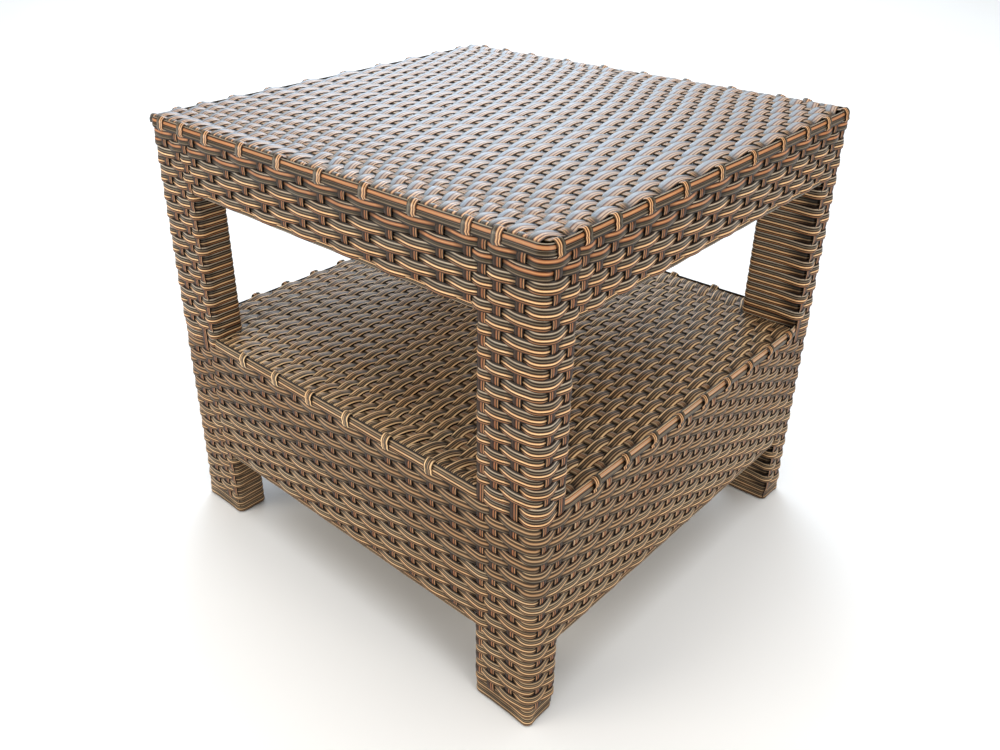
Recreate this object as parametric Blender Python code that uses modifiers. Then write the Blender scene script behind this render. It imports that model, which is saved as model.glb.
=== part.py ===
"""Two-tier woven side table: a welded aluminium tube frame under a skin of flat plastic wicker.

Run with: blender --background --python part.py
Units are metres and +Z is up. The origin is on the floor under the middle of the table.
The front faces -Y and the right-hand side faces +X.
"""
from math import pi, radians

import bmesh
import bpy

OBJECT_NAME = "wicker_coffee_table"

# Overall size
WIDTH = 0.500
DEPTH = 0.475
HEIGHT = 0.460

# Levels above the floor
FOOT_SKIN_BOTTOM = 0.002
BOX_BOTTOM = 0.087
SHELF_TOP = 0.231
APRON_BOTTOM = 0.394

# Woven skin
GAP = 0.0003
SKIN = 0.0037
BORDER_HEIGHT = 0.0097
CORNER_RETURN = 0.012

# Legs: flat oblong profile with a web down the middle
LEG_WIDTH = 0.058
LEG_DEPTH = 0.030
LEG_RADIUS = 0.005

# Rails, cross braces and tube walls
WALL = 0.0015
RAIL = 0.025
LOW_RAIL = 0.020
RAIL_RADIUS = 0.003
BRACE_WIDTH = 0.020
BRACE_HEIGHT = 0.012
BRACE_OFFSET = 0.080

# Foot glides
GLIDE_THICKNESS = 0.004
PLUG_LENGTH = 0.014
PLUG_OVERLAP = 0.001

# Sizes that follow from the ones above
CORE_X = WIDTH / 2 - SKIN - GAP
CORE_Y = DEPTH / 2 - SKIN - GAP
SKIN_RADIUS = LEG_RADIUS + GAP + SKIN
FRAME_TOP = HEIGHT - SKIN - GAP
SHELF_FRAME_TOP = SHELF_TOP - SKIN - GAP
LEG_X = CORE_X - LEG_WIDTH / 2
LEG_Y = CORE_Y - LEG_DEPTH / 2
LEG_BOTTOM = GLIDE_THICKNESS + GAP
CHAMBER_WIDTH = (LEG_WIDTH - 3 * WALL) / 2
CHAMBER_DEPTH = LEG_DEPTH - 2 * WALL
CHAMBER_OFFSET = (CHAMBER_WIDTH + WALL) / 2

CORNERS = {
    "front_left": (-1, -1),
    "front_right": (1, -1),
    "back_left": (-1, 1),
    "back_right": (1, 1),
}

ROUND_SEGMENTS = 4
SMOOTH_ANGLE = radians(35)

# Colour, roughness and metallic value of each family of pieces
FINISHES = {
    "frame": ((0.10, 0.065, 0.045), 0.45, 0.3),
    "glide": ((0.03, 0.03, 0.03), 0.55, 0.0),
    "weave": ((0.36, 0.23, 0.14), 0.42, 0.0),
    "border": ((0.45, 0.28, 0.16), 0.40, 0.0),
}


def clear_scene():
    for obj in list(bpy.data.objects):
        bpy.data.objects.remove(obj, do_unlink=True)


def new_collection(name):
    collection = bpy.data.collections.new(name)
    bpy.context.scene.collection.children.link(collection)
    return collection


def new_material(name, finish):
    colour, roughness, metallic = FINISHES[finish]
    material = bpy.data.materials.new(name)
    material.use_nodes = True
    shader = material.node_tree.nodes["Principled BSDF"]
    shader.inputs["Base Color"].default_value = (*colour, 1.0)
    shader.inputs["Roughness"].default_value = roughness
    shader.inputs["Metallic"].default_value = metallic
    material.diffuse_color = (*colour, 1.0)
    return material


def box_bmesh(size):
    """A box of the given size, centred on its own origin."""
    bm = bmesh.new()
    bmesh.ops.create_cube(bm, size=1.0)
    bmesh.ops.scale(bm, vec=size, verts=bm.verts)
    return bm


def round_edges(bm, axis, radius):
    """Round the edges that run along one axis (0, 1 or 2)."""
    edges = []
    for edge in bm.edges:
        run = edge.verts[1].co - edge.verts[0].co
        if abs(run[axis]) > 0.999 * run.length and len(edge.link_faces) == 2:
            edges.append(edge)
    bmesh.ops.bevel(bm, geom=edges, offset=radius, segments=ROUND_SEGMENTS, profile=0.5, affect="EDGES")


def delete_faces(bm, directions):
    """Open the box by removing the faces that look along the given (axis, sign) directions."""
    doomed = [f for f in bm.faces for axis, sign in directions if f.normal[axis] * sign > 0.999]
    bmesh.ops.delete(bm, geom=doomed, context="FACES")


def finish_mesh(bm, name):
    mesh = bpy.data.meshes.new(name)
    bm.to_mesh(mesh)
    bm.free()
    mesh.shade_smooth()
    mesh.set_sharp_from_angle(angle=SMOOTH_ANGLE)
    return mesh


class Builder:
    """Places finished pieces in the table's collection, under one root empty."""

    def __init__(self):
        self.parts = new_collection(OBJECT_NAME)
        self.cutters = new_collection("cutters")
        self.root = bpy.data.objects.new("table_root", None)
        self.parts.objects.link(self.root)

    def place(self, name, mesh, location, finish, turn=0.0):
        obj = bpy.data.objects.new(name, mesh)
        obj.location = location
        obj.rotation_euler.z = turn
        obj.parent = self.root
        self.parts.objects.link(obj)
        mesh.materials.append(new_material(name, finish))
        return obj

    def place_cutter(self, name, mesh, location):
        obj = bpy.data.objects.new(name, mesh)
        obj.location = location
        obj.hide_render = True
        obj.display_type = "WIRE"
        self.cutters.objects.link(obj)
        return obj


def add_wall(obj, thickness):
    """Thicken an open surface inwards, so that its outside keeps the size it was made with."""
    solidify = obj.modifiers.new("wall", "SOLIDIFY")
    solidify.thickness = thickness
    solidify.offset = -1.0
    solidify.use_even_offset = True


def add_boolean(obj, other, operation):
    boolean = obj.modifiers.new(other.name, "BOOLEAN")
    boolean.operation = operation
    boolean.object = other
    boolean.solver = "EXACT"


def tube_mesh(name, size, axis, radius):
    """The open outer surface of a rectangular tube that runs along one axis."""
    bm = box_bmesh(size)
    delete_faces(bm, [(axis, 1), (axis, -1)])
    round_edges(bm, axis, radius)
    return finish_mesh(bm, name)


def add_legs(builder):
    length = FRAME_TOP - LEG_BOTTOM
    middle = LEG_BOTTOM + length / 2
    for corner, (sx, sy) in CORNERS.items():
        bm = box_bmesh((LEG_WIDTH, LEG_DEPTH, length))
        round_edges(bm, 2, LEG_RADIUS)
        name = "leg_profile_" + corner
        leg = builder.place(name, finish_mesh(bm, name), (sx * LEG_X, sy * LEG_Y, middle), "frame")
        for side, sign in (("outer", 1), ("inner", -1)):
            hollow = box_bmesh((CHAMBER_WIDTH, CHAMBER_DEPTH, length * 1.2))
            round_edges(hollow, 2, LEG_RADIUS - WALL)
            cutter_name = f"{side}_chamber_{corner}"
            place = (sx * (LEG_X + sign * CHAMBER_OFFSET), sy * LEG_Y, middle)
            cutter = builder.place_cutter(cutter_name, finish_mesh(hollow, cutter_name), place)
            add_boolean(leg, cutter, "DIFFERENCE")


def add_glides(builder):
    """Plastic end plugs: a foot plate with one plug for each chamber of the leg."""
    plug_height = PLUG_LENGTH + PLUG_OVERLAP
    plug_middle = GLIDE_THICKNESS - PLUG_OVERLAP + plug_height / 2
    for corner, (sx, sy) in CORNERS.items():
        bm = box_bmesh((LEG_WIDTH, LEG_DEPTH, GLIDE_THICKNESS))
        round_edges(bm, 2, LEG_RADIUS)
        name = "foot_glide_" + corner
        place = (sx * LEG_X, sy * LEG_Y, GLIDE_THICKNESS / 2)
        glide = builder.place(name, finish_mesh(bm, name), place, "glide")
        for side, sign in (("outer", 1), ("inner", -1)):
            plug = box_bmesh((CHAMBER_WIDTH - 2 * GAP, CHAMBER_DEPTH - 2 * GAP, plug_height))
            round_edges(plug, 2, LEG_RADIUS - WALL)
            plug_name = f"{side}_plug_{corner}"
            place = (sx * (LEG_X + sign * CHAMBER_OFFSET), sy * LEG_Y, plug_middle)
            other = builder.place_cutter(plug_name, finish_mesh(plug, plug_name), place)
            add_boolean(glide, other, "UNION")


def add_rails(builder, level, top, section):
    """Four tubes that join the legs at one level, with their outer faces flush with the legs."""
    span_x = 2 * (CORE_X - LEG_WIDTH - GAP)
    span_y = 2 * (CORE_Y - LEG_DEPTH - GAP)
    middle = top - section / 2
    offset_x = CORE_X - section / 2
    offset_y = CORE_Y - section / 2
    layout = {
        "front": (0, (span_x, section, section), (0, -offset_y, middle)),
        "back": (0, (span_x, section, section), (0, offset_y, middle)),
        "left": (1, (section, span_y, section), (-offset_x, 0, middle)),
        "right": (1, (section, span_y, section), (offset_x, 0, middle)),
    }
    for side, (axis, size, place) in layout.items():
        name = f"{level}_rail_{side}"
        rail = builder.place(name, tube_mesh(name, size, axis, RAIL_RADIUS), place, "frame")
        add_wall(rail, WALL)


def add_braces(builder, level, top):
    """Two flat tubes from the left rail to the right rail, just under the woven panel."""
    span = 2 * (CORE_X - RAIL - GAP)
    for side, sign in (("front", -1), ("back", 1)):
        name = f"{level}_brace_{side}"
        mesh = tube_mesh(name, (span, BRACE_WIDTH, BRACE_HEIGHT), 0, RAIL_RADIUS)
        place = (0, sign * BRACE_OFFSET, top - BRACE_HEIGHT / 2)
        brace = builder.place(name, mesh, place, "frame")
        add_wall(brace, WALL)


def add_ring(builder, name, bottom, top, finish):
    """A skin round all four sides. Its front and back pieces turn the rounded corners."""
    height = top - bottom
    middle = (top + bottom) / 2
    for side, sign in (("front", -1), ("back", 1)):
        bm = box_bmesh((WIDTH, CORNER_RETURN, height))
        delete_faces(bm, [(2, 1), (2, -1), (1, 1)])
        round_edges(bm, 2, SKIN_RADIUS)
        piece_name = f"{name}_{side}"
        place = (0, sign * (DEPTH - CORNER_RETURN) / 2, middle)
        turn = pi if sign > 0 else 0.0
        piece = builder.place(piece_name, finish_mesh(bm, piece_name), place, finish, turn)
        add_wall(piece, SKIN)
    span = DEPTH - 2 * (CORNER_RETURN + GAP)
    for side, sign in (("left", -1), ("right", 1)):
        bm = box_bmesh((SKIN, span, height))
        piece_name = f"{name}_{side}"
        place = (sign * (WIDTH - SKIN) / 2, 0, middle)
        builder.place(piece_name, finish_mesh(bm, piece_name), place, finish)


def add_sleeves(builder, name, bottom, top):
    """The wicker wound round each leg between two levels."""
    size = (LEG_WIDTH + 2 * (SKIN + GAP), LEG_DEPTH + 2 * (SKIN + GAP), top - bottom)
    for corner, (sx, sy) in CORNERS.items():
        piece_name = f"{name}_{corner}"
        mesh = tube_mesh(piece_name, size, 2, SKIN_RADIUS)
        place = (sx * LEG_X, sy * LEG_Y, (top + bottom) / 2)
        sleeve = builder.place(piece_name, mesh, place, "weave")
        add_wall(sleeve, SKIN)


def add_top_weave(builder):
    bm = box_bmesh((2 * CORE_X, 2 * CORE_Y, SKIN))
    round_edges(bm, 2, LEG_RADIUS)
    builder.place("top_weave", finish_mesh(bm, "top_weave"), (0, 0, HEIGHT - SKIN / 2), "weave")


def add_shelf_weave(builder):
    """The woven floor of the shelf, notched round the four legs."""
    middle = SHELF_TOP - SKIN / 2
    mesh = finish_mesh(box_bmesh((2 * CORE_X, 2 * CORE_Y, SKIN)), "shelf_weave")
    shelf = builder.place("shelf_weave", mesh, (0, 0, middle), "weave")
    notch_x = LEG_WIDTH + GAP
    notch_y = LEG_DEPTH + GAP
    notch = finish_mesh(box_bmesh((2 * notch_x, 2 * notch_y, 4 * SKIN)), "leg_notch")
    for corner, (sx, sy) in CORNERS.items():
        cutter = builder.place_cutter("leg_notch_" + corner, notch, (sx * CORE_X, sy * CORE_Y, middle))
        add_boolean(shelf, cutter, "DIFFERENCE")


def main():
    clear_scene()
    builder = Builder()
    add_legs(builder)
    add_glides(builder)
    add_rails(builder, "top", FRAME_TOP, RAIL)
    add_rails(builder, "apron", APRON_BOTTOM + SKIN + GAP + LOW_RAIL, LOW_RAIL)
    add_rails(builder, "shelf", SHELF_FRAME_TOP, RAIL)
    add_rails(builder, "base", BOX_BOTTOM + SKIN + GAP + LOW_RAIL, LOW_RAIL)
    add_braces(builder, "top", FRAME_TOP)
    add_braces(builder, "shelf", SHELF_FRAME_TOP)
    add_top_weave(builder)
    add_shelf_weave(builder)
    add_ring(builder, "top_border", HEIGHT - BORDER_HEIGHT, HEIGHT, "border")
    add_ring(builder, "apron_weave", APRON_BOTTOM, HEIGHT - BORDER_HEIGHT - GAP, "weave")
    add_ring(builder, "shelf_border", SHELF_TOP - BORDER_HEIGHT, SHELF_TOP, "border")
    add_ring(builder, "box_weave", BOX_BOTTOM, SHELF_TOP - BORDER_HEIGHT - GAP, "weave")
    add_sleeves(builder, "leg_weave", SHELF_TOP + GAP, APRON_BOTTOM - GAP)
    add_sleeves(builder, "foot_weave", FOOT_SKIN_BOTTOM, BOX_BOTTOM - GAP)


main()
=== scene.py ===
"""Wicker coffee table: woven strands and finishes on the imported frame, floor, lights and camera.

Every strand is a ribbed plastic strip swept along a route that passes over and under the strips it
crosses. Routes start from the frame's own tubes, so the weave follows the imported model.
"""
import math

import bpy
import numpy as np
from mathutils import Matrix, Vector


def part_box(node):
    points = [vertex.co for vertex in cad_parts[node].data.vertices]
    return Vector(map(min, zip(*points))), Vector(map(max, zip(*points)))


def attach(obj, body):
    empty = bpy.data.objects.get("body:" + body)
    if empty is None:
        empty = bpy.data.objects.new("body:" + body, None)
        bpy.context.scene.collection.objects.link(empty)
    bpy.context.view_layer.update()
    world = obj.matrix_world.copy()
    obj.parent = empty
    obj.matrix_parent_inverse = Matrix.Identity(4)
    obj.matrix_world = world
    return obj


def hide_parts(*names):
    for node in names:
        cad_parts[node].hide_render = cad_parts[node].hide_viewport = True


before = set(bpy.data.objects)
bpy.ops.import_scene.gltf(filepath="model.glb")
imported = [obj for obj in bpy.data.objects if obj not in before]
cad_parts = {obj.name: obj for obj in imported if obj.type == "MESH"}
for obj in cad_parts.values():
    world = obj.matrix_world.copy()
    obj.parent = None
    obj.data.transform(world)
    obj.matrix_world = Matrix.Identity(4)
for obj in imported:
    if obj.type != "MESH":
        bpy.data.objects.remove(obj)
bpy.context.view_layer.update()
rng = np.random.default_rng(7)

# Strips: width and thickness, metres
STAKE_WIDTH = 0.0084
HEM_WIDTH = 0.0055
SHELF_BORDER_WIDTH = 0.0108  # at the front and the back
RIGHT_BORDER_WIDTH = 0.0112
LEFT_BORDER_WIDTH = 0.0088
STAKE_THICK = 0.0013
STRAND_THICK = 0.0015
BORDER_THICK = 0.0016
STRAND_COVER = 1.13  # strands lap a little, like shingles

# Heights over the frame's outer faces, metres
WEAVE_MID = 0.0027  # middle of the weave
STRAND_SWING = 0.0018  # how far a strand rises over a stake and sinks under one
STAKE_SWING = 0.00045
BORDER_SWING = 0.00015
BORDER_LIFT = 0.0001
TUCKED = 0.0009  # a strip's middle where it lies flat on the frame
STRAND_ROLL = 0.0006  # one edge of a strand stands over its neighbour
SUNK = WEAVE_MID - STRAND_SWING
RAISED = WEAVE_MID + STRAND_SWING
STAKE_HIGH = WEAVE_MID + STAKE_SWING
HEM_LIFT = WEAVE_MID - 0.0004
CORNER_LIFT = 0.004  # strands draw towards this height at an outer corner
INNER_WRAP = 0.0028  # middle of a wrap over a leg's inner faces
INNER_CORNER_RISE = 0.0002
BACK_RAISED = 0.3  # raised mark of a strip's back, so that the back is painted in shade

# Borders, and the stakes and strands that pass them, metres
BORDER_TILT = math.radians(14)  # a border leans in over the edge
BORDER_DROP = 0.0011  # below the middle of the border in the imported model
LEFT_BORDER_DROP = 0.0021
RIGHT_BORDER_RAISE = 0.0016
BORDER_REACH = 0.0052  # from the frame's rim down to a border's lower edge
BORDER_PAST_LEG = (0.006, 0.004)  # how far it runs on under a leg's stakes, in x and in y
LOOP_DROP = 0.0009
LOOP_GAP = 0.0003
LOOP_CROWN = 0.00035  # a loop is highest this far in from the rim
LOOP_ROUNDING = 0.02
LOOP_REACH = 0.0016  # past the rim a loop is down beside its border
RIM_DROP = 0.0022  # where a loop stands off beside its border, below the rim
UNDER_REACH = 0.003  # past the rim a stake is clear of the border that it dives under
UNDER_RISE = 0.0004
DIVE = 0.0018  # a strand starts down this far inside a border
DIVE_RISE = 0.0006
DIVE_DEPTH = 0.004
STRAY = 0.032  # a loop comes in line with its strand this far in
TUCK = 0.014  # how far stakes turn in under a bottom edge
ARCH = 0.014  # length over which a straight wall strip's ends go down
HEM_PAST_LEG = (0.002, 0.001)
HEM_WAVE = 0.0002
APRON_HEM_RISE = 0.0008
BOX_HEM_DROP = 0.0012

# Small wanders, different for each strip
SIDE_WANDER = 0.00025
LEVEL_WANDER = 0.0002
WANDER_PERIOD = 0.11
WANDER_SHARES = (1.0, 0.53, 0.29)
WANDER_SCALE = 1.8

# Bends of the routes that lie on the frame, metres
PLAN_BEND = 0.009
EDGE_BEND = 0.0015
LEG_BEND = 0.0035

# Wraps round a leg
LEG_EDGE_SWING = 0.55  # strands lie calmer along a leg's inner edge
FOOT_EDGE_SWING = 0.35
PLAIN_SIDE = -0.4  # a plain wrap lies deeper than the middle of the weave
TIGHT_WRAPS = 4  # at the foot each turns a sharper corner than the one above
FOOT_BEND_STEP = 0.0015
FOOT_FLARES = (0.008, 0.003)  # the first wraps under the box stand out from the leg's inner faces
LEG_END_GAP = 0.002

# Sampling along a strip
ROUTE_STEP = 0.00025
STRAND_STEP = 0.0029
STAKE_STEP = 0.0022
STEP_TURN = math.radians(13)
SHARP_ANGLE = math.radians(50)

# Frame measures
WALL_NAMES = ("front", "back", "left", "right")
LEGS = (("front_left", -1, -1), ("front_right", 1, -1), ("back_left", -1, 1), ("back_right", 1, 1))
CORE_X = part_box("top_rail_right")[1].x
CORE_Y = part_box("top_rail_back")[1].y
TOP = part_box("top_rail_front")[1].z
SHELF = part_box("shelf_rail_front")[1].z
APRON_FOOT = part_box("apron_rail_front")[0].z
BOX_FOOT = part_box("base_rail_front")[0].z
APRON_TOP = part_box("top_border_front")[0].z
APRON_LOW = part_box("apron_weave_front")[0].z
BOX_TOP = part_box("shelf_border_front")[0].z
BOX_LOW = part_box("box_weave_front")[0].z
BORDER_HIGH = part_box("top_border_front")[1].z
SHELF_BORDER_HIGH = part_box("shelf_border_front")[1].z
FLOOR_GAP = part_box("foot_weave_front_left")[0].z
LEG_LOW, LEG_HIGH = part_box("leg_profile_front_right")
LEG_INNER_X = LEG_LOW.x
LEG_INNER_Y = -LEG_HIGH.y

# Rows and stakes
APRON_ROWS = 6
BROAD_ROWS = 2  # apron rows woven with their broad stripe up
BAY_ROWS = 17  # and a twin of the last one, beside the shelf's border
TWIN_RAISE = 0.0012
TWIN_PITCH = 0.0094
BOX_ROWS = 15
UPPER_BOX_ROWS = 8
FOOT_ROWS = 10
PLAIN_FOOT_ROWS = 2
TOP_STRANDS = 52
SHELF_STRANDS = 54
FIELD_EDGE = 0.0022  # from the frame's side in to the first strand beside it
FRONT_STAKES = 14  # between the legs, apron
FRONT_PITCH = 0.0272
BOX_FRONT_STAKES = 13
BOX_FRONT_PITCH = 0.0267
LEG_FRONT_STAKES = (0.020, 0.041, 0.055)  # in from the frame's outer corner
LEG_SIDE_STAKES = (0.009, 0.028)
LEGS_FRONT = len(LEG_FRONT_STAKES)
LEGS_SIDE = len(LEG_SIDE_STAKES)
SIDE_STAKES = 21
SIDE_BUNCHING = 0.22  # how much closer they stand towards both ends
SIDE_LEAN = 0.13  # and towards the front
BOX_SIDE_STAKES = 18
BOX_SIDE_PITCH = 0.0215
SHELF_TURN_X = 0.115  # left of this the shelf's strands lie the other way up
SHELF_ENDS = (-0.2165, -0.1990)  # y of the shelf's cross stakes between the front legs
BETWEEN_LEGS = 0.0025  # a shelf strand this close to a leg's inner face stops at the legs
LEG_CLEARANCE = 0.004
STRAND_BESIDE_LEG = 0.007
SQUEEZE = 0.0032  # how far a strand right beside a leg leans from it

# Ribs: place across the strip and height as a share of its thickness
STRAND_RIBS = ((0, 0.46), (0.05, 0.64), (0.13, 0.80), (0.21, 0.72), (0.33, 1.0), (0.45, 0.86),
               (0.56, 1.0), (0.68, 0.84), (0.80, 0.92), (0.93, 0.66), (1, 0.46))
STAKE_RIBS = ((0, 0.50), (0.12, 0.66), (0.30, 1.0), (0.50, 0.80), (0.70, 1.0), (0.88, 0.66), (1, 0.50))


# Routes

class Route:
    """A plane curve of straights and bends, read by arc length. Its outer side is on its right."""

    def __init__(self, start, heading, moves):
        lengths, bends = np.array(moves).T
        counts = np.maximum(2, np.round(lengths / ROUTE_STEP)).astype(int)
        steps = np.repeat(lengths / counts, counts)
        turns = np.repeat(bends / counts, counts)
        middle = heading + np.cumsum(turns) - turns / 2
        chords = steps * np.sinc(turns / 2 / np.pi)
        path = np.cumsum(np.stack([np.cos(middle), np.sin(middle)], 1) * chords[:, None], 0)
        self.point = np.vstack([[0, 0], path]) + np.array(start)
        self.place = np.concatenate([[0], np.cumsum(steps)])
        angle = heading + np.concatenate([[0], np.cumsum(turns)])
        self.normal = np.stack([np.sin(angle), -np.cos(angle)], 1)
        self.turned = np.concatenate([[0], np.cumsum(np.abs(turns))])
        self.length = self.place[-1]

    def find(self, a, b):
        """Arc length of the route's point nearest to (a, b)."""
        return self.place[np.argmin(np.hypot(self.point[:, 0] - a, self.point[:, 1] - b))]

    def read(self, place, rows):
        return np.stack([np.interp(place, self.place, rows[:, i]) for i in (0, 1)], 1)

    def above(self, places, lift):
        """Points at a height over the route, and the route's outward directions there."""
        normal = self.read(places, self.normal)
        return self.read(places, self.point) + normal * lift[:, None], normal

    def samples(self, start, end, step):
        """Arc lengths from start to end, closer together in bends."""
        cost = self.place / step + self.turned / STEP_TURN
        first, last = np.interp([start, end], self.place, cost)
        count = max(3, math.ceil(last - first) + 1)
        return np.interp(np.linspace(first, last, count), cost, self.place)


def plan_loop(half_x, half_y, bends, centre=(0, 0)):
    """A rounded rectangle seen from above, from the middle of its front, anticlockwise. bends are
    the radii of its corners, from the front right one on."""
    sides = (half_x, half_y, half_x, half_y, half_x)
    before = (0,) + tuple(bends)
    after = tuple(bends) + (0,)
    moves = []
    for i, half in enumerate(sides):
        length = half if i in (0, 4) else 2 * half
        moves.append((length - before[i] - after[i], 0))
        if i < 4:
            moves.append((bends[i] * math.pi / 2, math.pi / 2))
    return Route((centre[0], centre[1] - half_y), 0, moves)


def hoop(half, top, bottom, tuck):
    """A vertical section over the top: up one wall, across and down the other.
    With a tuck it starts and ends under the walls."""
    bend = EDGE_BEND
    corner = (bend * math.pi / 2, math.pi / 2)
    across = (2 * (half - bend), 0)
    if not tuck:
        wall = (top - bottom - bend, 0)
        return Route((half, bottom), math.pi / 2, (wall, corner, across, corner, wall))
    wall = (top - bottom - 2 * bend, 0)
    under = (tuck, 0)
    moves = (under, corner, wall, corner, across, corner, wall, corner, under)
    return Route((half - bend - tuck, bottom), 0, moves)


def eased(places, knots):
    """Values between knots, level at each knot."""
    where, value = np.array(sorted(knots)).T
    where, kept = np.unique(where, return_index=True)
    value = value[kept]
    i = np.clip(np.searchsorted(where, places) - 1, 0, len(where) - 2)
    t = np.clip((places - where[i]) / (where[i + 1] - where[i]), 0, 1)
    return value[i] + (value[i + 1] - value[i]) * (1 - np.cos(np.pi * t)) / 2


def sway(places, amount):
    """A small smooth wander, different for each strip."""
    total = np.zeros(len(places))
    for share in WANDER_SHARES:
        turn = places / (WANDER_PERIOD * share) * 2 * np.pi
        total += share * np.sin(turn + rng.uniform(0, 2 * np.pi))
    return amount * total / WANDER_SCALE


# Strips

def add_object(name, data):
    made = bpy.data.objects.new(name, data)
    bpy.context.scene.collection.objects.link(made)
    return made


class Bundle:
    """Strips gathered into one mesh, with each point's place across and along its strip."""

    def __init__(self, ribs, thick, roll=0.0):
        self.roll = roll
        across = np.array([u for u, h in ribs] + [1, 0], float)
        height = np.array([h for u, h in ribs] + [0, 0], float)
        self.across = across
        self.height = (height - 0.5) * thick
        self.points, self.marks, self.quads, self.caps = [], [], [], []
        self.count = 0

    def strip(self, centre, normal, width, closed=False, flip=False, lift=WEAVE_MID):
        """Adds one strip along centre, its ribbed side towards normal. lift is its height over the
        frame."""
        # the raised mark feeds the painted shade in the finish: a less raised strip is painted darker
        raised = np.clip((lift - SUNK) / (RAISED - SUNK), 0, 1) * np.ones(len(centre))
        if closed:
            tangent = np.roll(centre, -1, 0) - np.roll(centre, 1, 0)
        else:
            tangent = np.gradient(centre, axis=0)
        tangent /= np.linalg.norm(tangent, axis=1)[:, None]
        side = np.cross(tangent, normal)
        side /= np.linalg.norm(side, axis=1)[:, None]
        up = np.cross(side, tangent)
        order = np.arange(len(self.across))
        if flip:
            order = np.r_[order[-3::-1], order[-1], order[-2]]
        marks = self.across[order]
        across = 1 - marks if flip else marks
        offset = (across - 0.5) * np.ones((len(centre), 1)) * np.reshape(width, (-1, 1))
        rise = self.height[order] + self.roll * (2 * across - 1)
        ring = centre[:, None] + side[:, None] * offset[..., None] + up[:, None] * rise[None, :, None]
        rows, size = ring.shape[:2]
        run = np.linalg.norm(np.diff(centre, axis=0), axis=1)
        along = np.concatenate([[0], np.cumsum(run)])
        mark = np.zeros((rows, size, 4))
        mark[..., 0] = marks
        mark[..., 1] = along[:, None]
        mark[..., 2] = rng.uniform()
        mark[..., 3] = raised[:, None]
        # a strip's back gets a low raised mark, which paints it in shade
        mark[:, -2:, 3] = BACK_RAISED
        first = np.arange(rows if closed else rows - 1)
        after = (first + 1) % rows
        j = np.arange(size)
        k = (j + 1) % size
        here = first[:, None] * size + self.count
        there = after[:, None] * size + self.count
        quad = np.stack([here + j, here + k, there + k, there + j], -1)
        self.quads.append(quad.reshape(-1, 4))
        if not closed:
            self.caps.append(np.arange(size)[::-1] + self.count)
            self.caps.append(np.arange(size) + self.count + (rows - 1) * size)
        self.points.append(ring.reshape(-1, 3))
        self.marks.append(mark.reshape(-1, 4))
        self.count += rows * size

    def build(self, name, finish, stands_for=(), slot="weave"):
        """Makes the mesh object, which rides on the frame."""
        points = np.concatenate(self.points).astype(np.float32)
        marks = np.concatenate(self.marks).astype(np.float32)
        quads = np.concatenate(self.quads)
        caps = np.array(self.caps, int).reshape(-1, len(self.across))
        corners = np.concatenate([quads.ravel(), caps.ravel()]).astype(np.int32)
        sizes = np.repeat([4, caps.shape[1]], [len(quads), len(caps)])
        starts = (np.cumsum(sizes) - sizes).astype(np.int32)
        mesh = bpy.data.meshes.new(name)
        mesh.vertices.add(len(points))
        mesh.vertices.foreach_set("co", points.ravel())
        mesh.loops.add(len(corners))
        mesh.loops.foreach_set("vertex_index", corners)
        mesh.polygons.add(len(starts))
        mesh.polygons.foreach_set("loop_start", starts)
        mesh.update(calc_edges=True)
        mesh.validate()
        for i, label in enumerate(("across", "along", "tone", "raised")):
            layer = mesh.attributes.new(label, "FLOAT", "POINT")
            layer.data.foreach_set("value", np.ascontiguousarray(marks[:, i]))
        mesh.shade_smooth()
        mesh.set_sharp_from_angle(angle=SHARP_ANGLE)
        mesh.materials.append(finish)
        piece = add_object(name, mesh)
        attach(piece, "root")
        if stands_for:
            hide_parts(*stands_for)


def strand_bundle():
    return Bundle(STRAND_RIBS, STRAND_THICK, STRAND_ROLL)


def stake_bundle():
    return Bundle(STAKE_RIBS, STAKE_THICK)


def around(bundle, route, z, knots, width, flip, corners, tilt=0.0):
    """A level strip round a closed plan loop. knots are (place on the loop, height over it). The
    strip is drawn outwards at the corners."""
    places = route.samples(0, route.length, STRAND_STEP)[:-1]
    wrapped = [(p + turn * route.length, v) for turn in (-1, 0, 1) for p, v in knots]
    bends = np.array(corners)
    raised = (eased(bends, wrapped) + CORNER_LIFT) / 2
    lift = eased(places, wrapped + list(zip(bends, raised)))
    point, normal = route.above(places, lift)
    level = z + sway(places, LEVEL_WANDER) * np.sin(np.pi * places / route.length)
    centre = np.column_stack([point, level])
    facing = np.column_stack([normal * math.cos(tilt), np.full(len(places), math.sin(tilt))])
    bundle.strip(centre, facing, width, True, flip, lift)


def over(bundle, route, axis, at, knots, width, ends, step=STAKE_STEP, flip=False, drift=None):
    """A strip along a hoop that runs along x or y. at is its place on the other axis. Heights, width
    and drift to the side may each be given as knots along the hoop."""
    places = route.samples(min(ends), max(ends), step)
    if isinstance(width, list):
        width = eased(places, width)
    lift = eased(places, knots)
    point, normal = route.above(places, lift)
    aside = np.full(len(places), at) + sway(places, SIDE_WANDER)
    if drift is not None:
        aside += eased(places, drift)
    zero = np.zeros(len(places))
    order = (0, 1, 2) if axis == "x" else (1, 0, 2)
    centre = np.column_stack([point[:, 0], aside, point[:, 1]])[:, order]
    facing = np.column_stack([normal[:, 0], zero, normal[:, 1]])[:, order]
    bundle.strip(centre, facing, width, False, flip, lift)


# Layout

def row_heights(high, low, count):
    """Middles of count rows between two heights, from the top down."""
    pitch = (high - low) / count
    return [high - pitch * (i + 0.5) for i in range(count)]


def side_places():
    """The apron's side stakes, closer together beside the front legs than mid-way."""
    share = np.linspace(0, 1, SIDE_STAKES)
    bunched = SIDE_BUNCHING * np.sin(2 * np.pi * share) / (2 * np.pi)
    spread = share - bunched - SIDE_LEAN * (share - share ** 2)
    first = LEG_SIDE_STAKES[0]
    last = 2 * CORE_Y - LEG_SIDE_STAKES[0]
    places = first + (last - first) * spread
    places[1] = LEG_SIDE_STAKES[1]
    places[-2] = 2 * CORE_Y - LEG_SIDE_STAKES[1]
    return places - CORE_Y


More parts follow.
